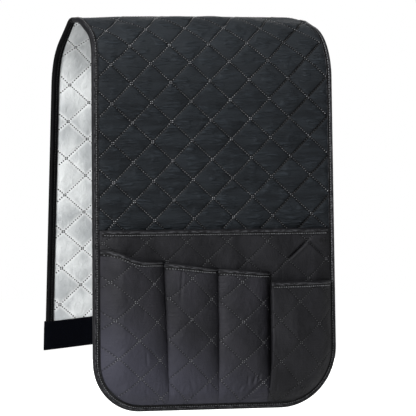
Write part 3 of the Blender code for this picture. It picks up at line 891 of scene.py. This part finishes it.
def add(tree, kind, settings=None, **inputs):
    """A shader node with its settings, and its inputs set to values or linked to other nodes' sockets. An
    input is named by its label, with _ for spaces, or by its number after an n."""
    made = tree.nodes.new("ShaderNode" + kind)
    for key, value in (settings or {}).items():
        setattr(made, key, value)
    for key, value in inputs.items():
        numbered = key[0] == "n" and key[1:].isdigit()
        socket = made.inputs[int(key[1:]) if numbered else key.replace("_", " ")]
        if isinstance(value, bpy.types.NodeSocket):
            tree.links.new(value, socket)
        else:
            socket.default_value = value
    return made


def maths(tree, operation, *values):
    """A Math node's result."""
    numbered = {f"n{k}": value for k, value in enumerate(values)}
    return add(tree, "Math", {"operation": operation}, **numbered).outputs[0]


def ramp(tree, value, low, high, start=0.0, end=1.0):
    """A value eased from start to end between low and high."""
    made = add(tree, "MapRange", {"interpolation_type": "SMOOTHSTEP"}, Value=value, From_Min=low,
               From_Max=high, To_Min=start, To_Max=end)
    return made.outputs["Result"]


def blended(tree, share, first, second):
    """Two colours mixed."""
    made = add(tree, "Mix", {"data_type": "RGBA"}, n0=share, n6=first, n7=second)
    return made.outputs[2]


def new_group(name, inputs, outputs):
    """An empty node group with its sockets, its input node and its output node."""
    tree = bpy.data.node_groups.new(name, "ShaderNodeTree")
    for label, kind in inputs:
        tree.interface.new_socket(label, in_out="INPUT", socket_type="NodeSocket" + kind)
    for label in outputs:
        tree.interface.new_socket(label, in_out="OUTPUT", socket_type="NodeSocketFloat")
    return tree, tree.nodes.new("NodeGroupInput"), tree.nodes.new("NodeGroupOutput")


def woven_group():
    """Plain weave: the product of a sine across and a sine along the cloth, a thread's pitch apart."""
    tree, given, made = new_group("plain_weave", (("Place", "Vector"), ("Pitch", "Float")), ("Height",))
    parts = add(tree, "SeparateXYZ", Vector=given.outputs["Place"])
    turns = maths(tree, "DIVIDE", math.tau, given.outputs["Pitch"])
    waves = [maths(tree, "SINE", maths(tree, "MULTIPLY", parts.outputs[k], turns)) for k in (0, 1)]
    tree.links.new(maths(tree, "MULTIPLY", *waves), made.inputs["Height"])
    return tree


def crease_group():
    """Fine creases in thin cloth: noise whose places are scaled apart across and along, so that it makes
    streaks, a coarser mottling, and patches of sharper gathers drawn across the cloth."""
    sockets = (("Place", "Vector"), ("Across", "Float"), ("Along", "Float"))
    tree, given, made = new_group("fine_creases", sockets, ("Height", "Mottle", "Gathers"))
    parts = add(tree, "SeparateXYZ", Vector=given.outputs["Place"])

    def stretched(across, along):
        return add(tree, "CombineXYZ", X=maths(tree, "MULTIPLY", parts.outputs[0], across),
                   Y=maths(tree, "MULTIPLY", parts.outputs[1], along)).outputs[0]

    even = stretched(given.outputs["Across"], given.outputs["Along"])
    fine = add(tree, "TexNoise", Vector=even, Scale=1.0, Detail=4.0, Roughness=0.6, Distortion=0.4)
    broad = add(tree, "TexNoise", Vector=even, Scale=0.22, Detail=3.0, Roughness=0.55)
    sharp = add(tree, "TexNoise", Vector=stretched(48.0, 430.0), Scale=1.0, Detail=2.0, Roughness=0.5,
                Distortion=0.3)
    patch = add(tree, "TexNoise", Vector=stretched(45.0, 60.0), Scale=1.0, Detail=1.0)
    held = ramp(tree, patch.outputs["Fac"], 0.42, 0.62)
    tree.links.new(fine.outputs["Fac"], made.inputs["Height"])
    tree.links.new(broad.outputs["Fac"], made.inputs["Mottle"])
    gathers = maths(tree, "MULTIPLY", ramp(tree, sharp.outputs["Fac"], 0.36, 0.66), held)
    tree.links.new(gathers, made.inputs["Gathers"])
    return tree


def line_group():
    """How near a place in the quilting is to a stitched line, 1 on it and 0 past its width, and the needle
    holes between the stitches, where painted shade goes. Width is given in spacings of the lines. The tuck
    output is 1 just above the lines that rise to the right, where the cloth folds in and its shade is painted."""
    tree, given, made = new_group("stitched_lines", (("Place", "Vector"), ("Width", "Float")),
                                  ("Line", "Holes", "TuckShade"))
    parts = add(tree, "SeparateXYZ", Vector=given.outputs["Place"])

    def from_whole(value):
        turned = maths(tree, "FRACT", maths(tree, "ADD", value, 0.5))
        return maths(tree, "ABSOLUTE", maths(tree, "SUBTRACT", turned, 0.5))

    tucked = from_whole(maths(tree, "ADD", parts.outputs[1], 0.004))
    tree.links.new(ramp(tree, tucked, 0.018, 0.055, 1.0, 0.0), made.inputs["TuckShade"])

    away = [from_whole(parts.outputs[k]) for k in (0, 1)]
    nearest = maths(tree, "MINIMUM", *away)
    tree.links.new(ramp(tree, maths(tree, "DIVIDE", nearest, given.outputs["Width"]), 0.0, 1.0, 1.0, 0.0),
                   made.inputs["Line"])
    rows = []
    for off, run in ((away[0], parts.outputs[1]), (away[1], parts.outputs[0])):
        steps = from_whole(maths(tree, "MULTIPLY", run, float(stitches_a_side)))
        rows.append(maths(tree, "MULTIPLY", ramp(tree, off, 0.018, 0.040, 1.0, 0.0),
                           ramp(tree, steps, 0.22, 0.36, 1.0, 0.0)))
    tree.links.new(maths(tree, "MAXIMUM", *rows), made.inputs["Holes"])
    return tree


def uv_place(tree, label):
    """A piece's own UV map."""
    return add(tree, "UVMap", {"uv_map": label}).outputs["UV"]


def in_group(tree, group, **inputs):
    """The outputs of a group's node, with its inputs set or linked."""
    return add(tree, "Group", {"node_tree": group}, **inputs).outputs


def relief(tree, *layers):
    """Bump nodes in a row, each a height and the depth in metres that it stands for."""
    normal = None
    for height, depth in layers:
        made = add(tree, "Bump", Height=height, Distance=depth, Strength=1.0)
        if normal is not None:
            tree.links.new(normal, made.inputs["Normal"])
        normal = made.outputs["Normal"]
    return normal


def new_finish(name, roughness, specular, sheen=0.0):
    """A material with its constants on the shader, its tree and its shader."""
    made = bpy.data.materials.new(name)
    made.use_nodes = True
    shader = made.node_tree.nodes["Principled BSDF"]
    shader.inputs["Roughness"].default_value = roughness
    shader.inputs["Specular IOR Level"].default_value = specular
    shader.inputs["Sheen Weight"].default_value = sheen
    shader.inputs["Sheen Roughness"].default_value = 0.5
    return made, made.node_tree, shader


def painted_corner_sheen(tree, parts):
    """Where the pockets are painted paler by a sheen: towards the front flap's lower left corner."""
    corner = maths(tree, "ADD", maths(tree, "MULTIPLY", parts.outputs[0], -0.45),
                    maths(tree, "MULTIPLY", parts.outputs[1], -1.0))
    return ramp(tree, corner, -0.090, 0.015)


def painted_fold_sheen(tree, parts):
    """Where the quilt is painted paler by a sheen: over the armrest."""
    away = maths(tree, "ABSOLUTE", maths(tree, "SUBTRACT", parts.outputs[1], front_run(0.5)))
    return ramp(tree, away, 0.010, 0.190, 1.0, 0.0)


def quilted_cloth(name, groups, dark, light, streaks, gathers, lines, painted_sheen_mask, pale, roughness):
    """Thin black cloth: darker and lighter by its mottling, lighter on its gathers by a painted sheen, darker
    along the stitched lines, which are pressed in, by painted shade, and black in their needle holes and tucks
    by painted shade, over a fine weave. streaks are how often they come across and along, and how deep they
    are; gathers the share of their painted sheen and their depth; lines the shares of their painted shade,
    their holes' and their tucks', their width in spacings and their depth; its sheen mask is a place's mask
    for the pale colour of a painted sheen."""
    across, along, streak_depth = streaks
    gather_sheen_share, gather_depth = gathers
    line_shade_share, hole_shade_share, tuck_shade_share, line_width, line_depth = lines
    made, tree, shader = new_finish(name, roughness, 0.20)
    place = uv_place(tree, "flat")
    parts = add(tree, "SeparateXYZ", Vector=place)
    creases = in_group(tree, groups["creases"], Place=place, Across=across, Along=along)
    sewn = in_group(tree, groups["lines"], Place=uv_place(tree, "diamonds"), Width=line_width)
    weave = in_group(tree, groups["weave"], Place=place, Pitch=weave_pitch)["Height"]
    cloth = blended(tree, ramp(tree, creases["Mottle"], 0.34, 0.66), (*dark, 1), (*light, 1))
    # Painted sheen: paler where the sheen mask says
    if painted_sheen_mask:
        cloth = blended(tree, painted_sheen_mask(tree, parts), cloth, (*pale, 1))
    # Painted sheen: lighter on the gathers
    if gather_sheen_share:
        share = maths(tree, "MULTIPLY", creases["Gathers"], gather_sheen_share)
        cloth = blended(tree, share, cloth, (*[1.8 * c for c in light], 1))
    # Painted shade along the pressed-in stitched lines
    cloth = blended(tree, maths(tree, "MULTIPLY", sewn["Line"], line_shade_share), cloth, line_shade_black)
    # Painted shade just above the rising lines to the right, where the cloth folds in
    if tuck_shade_share:
        to_right = ramp(tree, parts.outputs[0], tuck_start, tuck_start + tuck_reach, 0.0, tuck_shade_share)
        cloth = blended(tree, maths(tree, "MULTIPLY", sewn["TuckShade"], to_right), cloth, shade_black)
    # Painted shade in the needle holes
    cloth = blended(tree, maths(tree, "MULTIPLY", sewn["Holes"], hole_shade_share), cloth, shade_black)
    tree.links.new(cloth, shader.inputs["Base Color"])
    clear = maths(tree, "SUBTRACT", 1.0, sewn["Line"])
    normal = relief(tree, (creases["Height"], streak_depth), (creases["Gathers"], gather_depth),
                    (clear, line_depth), (weave, weave_depth))
    tree.links.new(normal, shader.inputs["Normal"])
    return made


def silver_cloth(groups):
    """Coated lining: pale grey with soft mottling, paler beside the stitched lines, finely crumpled."""
    made, tree, shader = new_finish("silver_lining", 0.38, 0.5)
    place = uv_place(tree, "flat")
    creases = in_group(tree, groups["creases"], Place=place, Across=110.0, Along=80.0)
    lines = in_group(tree, groups["lines"], Place=uv_place(tree, "diamonds"), Width=0.14)
    cloth = blended(tree, ramp(tree, creases["Mottle"], 0.32, 0.68), (0.46, 0.48, 0.49, 1),
                    (0.76, 0.78, 0.78, 1))
    pale = blended(tree, maths(tree, "MULTIPLY", lines["Line"], 0.7), cloth, (0.90, 0.91, 0.91, 1))
    tree.links.new(pale, shader.inputs["Base Color"])
    tree.links.new(relief(tree, (creases["Height"], 0.0012)), shader.inputs["Normal"])
    return made


def woven_tape(name, groups, dark, light, highlight_tone, specular):
    """Black woven tape: ribs across it, a painted highlight stripe between its fold and the painted shade of
    the groove where it is sewn, and a thin painted highlight along its free edge."""
    made, tree, shader = new_finish(name, 0.5, specular)
    place = uv_place(tree, "flat")
    parts = add(tree, "SeparateXYZ", Vector=place)
    ribs = maths(tree, "SINE", maths(tree, "MULTIPLY", parts.outputs[0], math.tau / tape_rib))
    creases = in_group(tree, groups["creases"], Place=place, Across=160.0, Along=400.0)
    # Painted highlights: a thin line along the free edge and a stripe between the fold and the groove
    edge = ramp(tree, parts.outputs[1], 0.0004, 0.0011, 0.7, 0.0)
    stripe = maths(tree, "MULTIPLY", ramp(tree, parts.outputs[1], 0.0030, 0.0038),
                    ramp(tree, parts.outputs[1], 0.0056, 0.0064, 1.0, 0.0))
    painted_highlight = maths(tree, "MAXIMUM", edge, stripe)
    patchy = maths(tree, "MULTIPLY", painted_highlight, ramp(tree, creases["Height"], 0.42, 0.62))
    cloth = blended(tree, ramp(tree, creases["Mottle"], 0.35, 0.65), (*dark, 1), (*light, 1))
    # Painted shade in the groove where the tape is sewn
    off_seam = maths(tree, "ABSOLUTE", maths(tree, "SUBTRACT", parts.outputs[1], 0.0022))
    groove_shade = blended(tree, ramp(tree, off_seam, 0.0006, 0.0015, 0.95, 0.0), cloth, (0.001, 0.001, 0.0012, 1))
    tree.links.new(blended(tree, patchy, groove_shade, (*highlight_tone, 1)), shader.inputs["Base Color"])
    tree.links.new(relief(tree, (creases["Height"], 0.0003), (ribs, 0.00006)), shader.inputs["Normal"])
    return made


def velvet(groups):
    """Black hook-and-loop pile: almost no colour, with short tufts in its relief and a faint sheen."""
    made, tree, shader = new_finish("black_band", 0.9, 0.03)
    place = uv_place(tree, "flat")
    creases = in_group(tree, groups["creases"], Place=place, Across=900.0, Along=900.0)
    cloth = blended(tree, ramp(tree, creases["Height"], 0.55, 0.80), (0.0009, 0.0012, 0.0025, 1),
                    (0.011, 0.013, 0.020, 1))
    tree.links.new(cloth, shader.inputs["Base Color"])
    tree.links.new(relief(tree, (creases["Height"], 0.0006)), shader.inputs["Normal"])
    return made


def thread_finish(name, dark, light):
    """Sewing thread, each stitch as light as its shine."""
    made, tree, shader = new_finish(name, 0.45, 0.35)
    shine = add(tree, "SeparateXYZ", Vector=uv_place(tree, "flat")).outputs[0]
    noise = add(tree, "TexNoise", Vector=add(tree, "TexCoord").outputs["Object"], Scale=380.0, Detail=1.0)
    varied = maths(tree, "MULTIPLY", shine, ramp(tree, noise.outputs["Fac"], 0.30, 0.65, 0.35, 1.0))
    tree.links.new(blended(tree, varied, (*dark, 1), (*light, 1)), shader.inputs["Base Color"])
    return made


def wadding_finish():
    """White polyester fleece."""
    made, tree, shader = new_finish("white_wadding", 0.95, 0.2)
    place = add(tree, "TexCoord").outputs["Object"]
    noise = add(tree, "TexNoise", Vector=place, Scale=700.0, Detail=3.0)
    tree.links.new(blended(tree, noise.outputs["Fac"], (0.68, 0.68, 0.66, 1), (0.82, 0.82, 0.80, 1)),
                   shader.inputs["Base Color"])
    tree.links.new(relief(tree, (noise.outputs["Fac"], 0.0008)), shader.inputs["Normal"])
    return made


def all_finishes():
    """Every finish by its name."""
    groups = {"weave": woven_group(), "creases": crease_group(), "lines": line_group()}
    return {
        "black_quilt": quilted_cloth(
            "black_quilt", groups, dark=(0.0072, 0.0092, 0.0118), light=(0.0145, 0.0182, 0.0224),
            streaks=(60.0, 420.0, 0.0018), gathers=(0.75, 0.0020), lines=(0.50, 1.0, 0.95, 0.07, 0.0010),
            painted_sheen_mask=painted_fold_sheen, pale=(0.0250, 0.0295, 0.0345), roughness=0.68),
        "black_pocket": quilted_cloth(
            "black_pocket", groups, dark=(0.0130, 0.0130, 0.0162), light=(0.0235, 0.0230, 0.0286),
            streaks=(120.0, 70.0, 0.0014), gathers=(0.0, 0.0002), lines=(0.05, 0.45, 0.0, 0.05, 0.0004),
            painted_sheen_mask=painted_corner_sheen, pale=(0.0430, 0.0430, 0.0590), roughness=0.60),
        # The magazine panel's and phone pocket's cloth: a darker copy of the pocket cloth, as painted shade
        "shaded_pocket": quilted_cloth(
            "shaded_pocket", groups, dark=(0.0085, 0.0085, 0.0104), light=(0.0176, 0.0176, 0.0206),
            streaks=(120.0, 70.0, 0.0014), gathers=(0.0, 0.0002), lines=(0.20, 0.6, 0.0, 0.05, 0.0004),
            painted_sheen_mask=None, pale=None, roughness=0.60),
        "silver_lining": silver_cloth(groups),
        "black_tape": woven_tape("black_tape", groups, (0.0045, 0.0045, 0.0058), (0.0095, 0.0095, 0.0115),
                                 (0.062, 0.063, 0.069), 0.18),
        # The rear bindings' tape: a darker copy of the black tape, as painted shade
        "shaded_tape": woven_tape("shaded_tape", groups, (0.0010, 0.0010, 0.0012), (0.0025, 0.0025, 0.0030),
                                (0.012, 0.012, 0.014), 0.06),
        "black_band": velvet(groups),
        "white_wadding": wadding_finish(),
        "grey_thread": thread_finish("grey_thread", (0.020, 0.021, 0.023), (0.44, 0.45, 0.47)),
        "black_thread": thread_finish("black_thread", (0.002, 0.002, 0.002), (0.006, 0.006, 0.007)),
    }


def bend_with(piece):
    """Bakes the piece's transform into its mesh. The ridge's ends at the strip's two edges are worked out,
    as the ridge runs slantwise, but not used."""
    left, right = drape(np.array([-half_width, half_width]), np.array([front_run(0.0), front_run(1.0)]), 0.0)
    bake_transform(piece)


def camera():
    """A long lens at the photograph's angle: yaw turns from +Y towards +X, pitch is above the horizon, and
    roll turns the picture."""
    data = bpy.data.cameras.new("camera")
    data.sensor_width = sensor_width
    data.lens = lens_share * sensor_width
    data.clip_end = 50.0
    made = bpy.data.objects.new("camera", data)
    forward = Vector((math.sin(camera_yaw) * math.cos(camera_pitch),
                      math.cos(camera_yaw) * math.cos(camera_pitch), math.sin(camera_pitch)))
    right = Vector((math.cos(camera_yaw), -math.sin(camera_yaw), 0.0))
    up = right.cross(forward)
    rolled_right = math.cos(camera_roll) * right + math.sin(camera_roll) * up
    rolled_up = math.cos(camera_roll) * up - math.sin(camera_roll) * right
    turn = Matrix((rolled_right, rolled_up, -forward)).transposed().to_4x4()
    made.matrix_world = Matrix.Translation(camera_place) @ turn
    bpy.context.scene.collection.objects.link(made)
    bpy.context.scene.camera = made


def studio():
    """A pale floor below the hanging flap, a white world for the camera that is dimmer for the cloth, and
    three soft lamps: from the upper left front, the lower left front and behind."""
    world = bpy.data.worlds.new("studio")
    world.use_nodes = True
    bpy.context.scene.world = world
    tree = world.node_tree
    path = add(tree, "LightPath")
    seen = maths(tree, "MAXIMUM", path.outputs["Is Camera Ray"], path.outputs["Is Transmission Ray"])
    sky = tree.nodes["Background"]
    sky.inputs["Color"].default_value = (1, 1, 1, 1)
    tree.links.new(ramp(tree, seen, 0.0, 1.0, world_strength, 1.0), sky.inputs["Strength"])

    bpy.ops.mesh.primitive_plane_add(size=floor_size, location=(0.0, 0.0, floor_height))
    floor = bpy.context.object
    floor.name = "floor"
    made, tree, shader = new_finish("pale_floor", 0.9, 0.1)
    shader.inputs["Base Color"].default_value = floor_grey
    shader.inputs["Emission Color"].default_value = (1, 1, 1, 1)
    path = add(tree, "LightPath")
    glow = maths(tree, "MULTIPLY", path.outputs["Is Camera Ray"], floor_glow)
    tree.links.new(glow, shader.inputs["Emission Strength"])
    floor.data.materials.append(made)
    for name, place, size, power in lamps:
        data = bpy.data.lights.new(name, "AREA")
        data.size, data.energy = size, power
        lamp = bpy.data.objects.new(name, data)
        lamp.location = place
        lamp.rotation_euler = (Vector(lamp_aim) - Vector(place)).to_track_quat("-Z", "Y").to_euler()
        bpy.context.scene.collection.objects.link(lamp)


camera()
bpy.context.scene.view_settings.view_transform = "Standard"
studio()
finishes = all_finishes()

for rear in (False, True):
    word = "rear" if rear else "front"
    parts = quilt_layers(rear, finishes)
    for piece, part in zip(parts, ("shell", "lining", "wadding")):
        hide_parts(f"{word}_{part}", f"saddle_{part}")
    for piece in (*parts, *quilt_stitches(rear, finishes["grey_thread"], finishes["black_thread"])):
        bend_with(piece)

middle, half = (tape_low + tape_high) / 2, (tape_high - tape_low) / 2
path, inward = front_outline(tape_step)
rows = {"front": (path, inward, ("front_binding", "saddle_binding_left", "saddle_binding_right"))}
for side, word in ((-1, "left"), (1, "right")):
    along = np.linspace(front_run(0.5 + side / 2), cloth_length - band_overlap, round(rear_run() / tape_step))
    path = np.stack([side * half_width + 0 * along, along], -1)
    rows[f"rear_{word}"] = (path, np.tile([-side, 0.0], (len(path), 1)),
                            (f"rear_binding_{word}", f"saddle_binding_{word}"))
for word, (path, inward, nodes) in rows.items():
    size = np.ones(len(path))
    # The rear tapes take the darker copy of the tape, as painted shade
    piece = tape(f"edge_tape_{word}", path, inward, middle * size, half * size, binding_width,
                 finishes["black_tape" if word == "front" else "shaded_tape"])
    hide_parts(*nodes)
    sewn = sewn_share * binding_width
    outer = tape_stitches(f"edge_stitches_{word}", path, inward, sewn, (tape_high + thread_lift) * size,
                          finishes["grey_thread"])
    under = tape_stitches(f"edge_stitches_inner_{word}", path, inward, sewn, (tape_low - thread_lift) * size,
                          finishes["black_thread"])
    for made in (piece, outer, under):
        bend_with(made)

for name in ("magazine", *pockets):
    panel, trims = magazine_panel(finishes) if name == "magazine" else small_pocket(name, finishes)
    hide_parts(f"{name}_pocket")
    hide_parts(f"{name}_hem")
    for piece in (panel, *trims):
        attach(piece, "front_flap")
pleat = phone_pleat(finishes["shaded_pocket"])
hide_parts("phone_gusset")
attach(pleat, "front_flap")
band = end_band(finishes["black_band"])
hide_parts("end_band")
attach(band, "rear_flap")
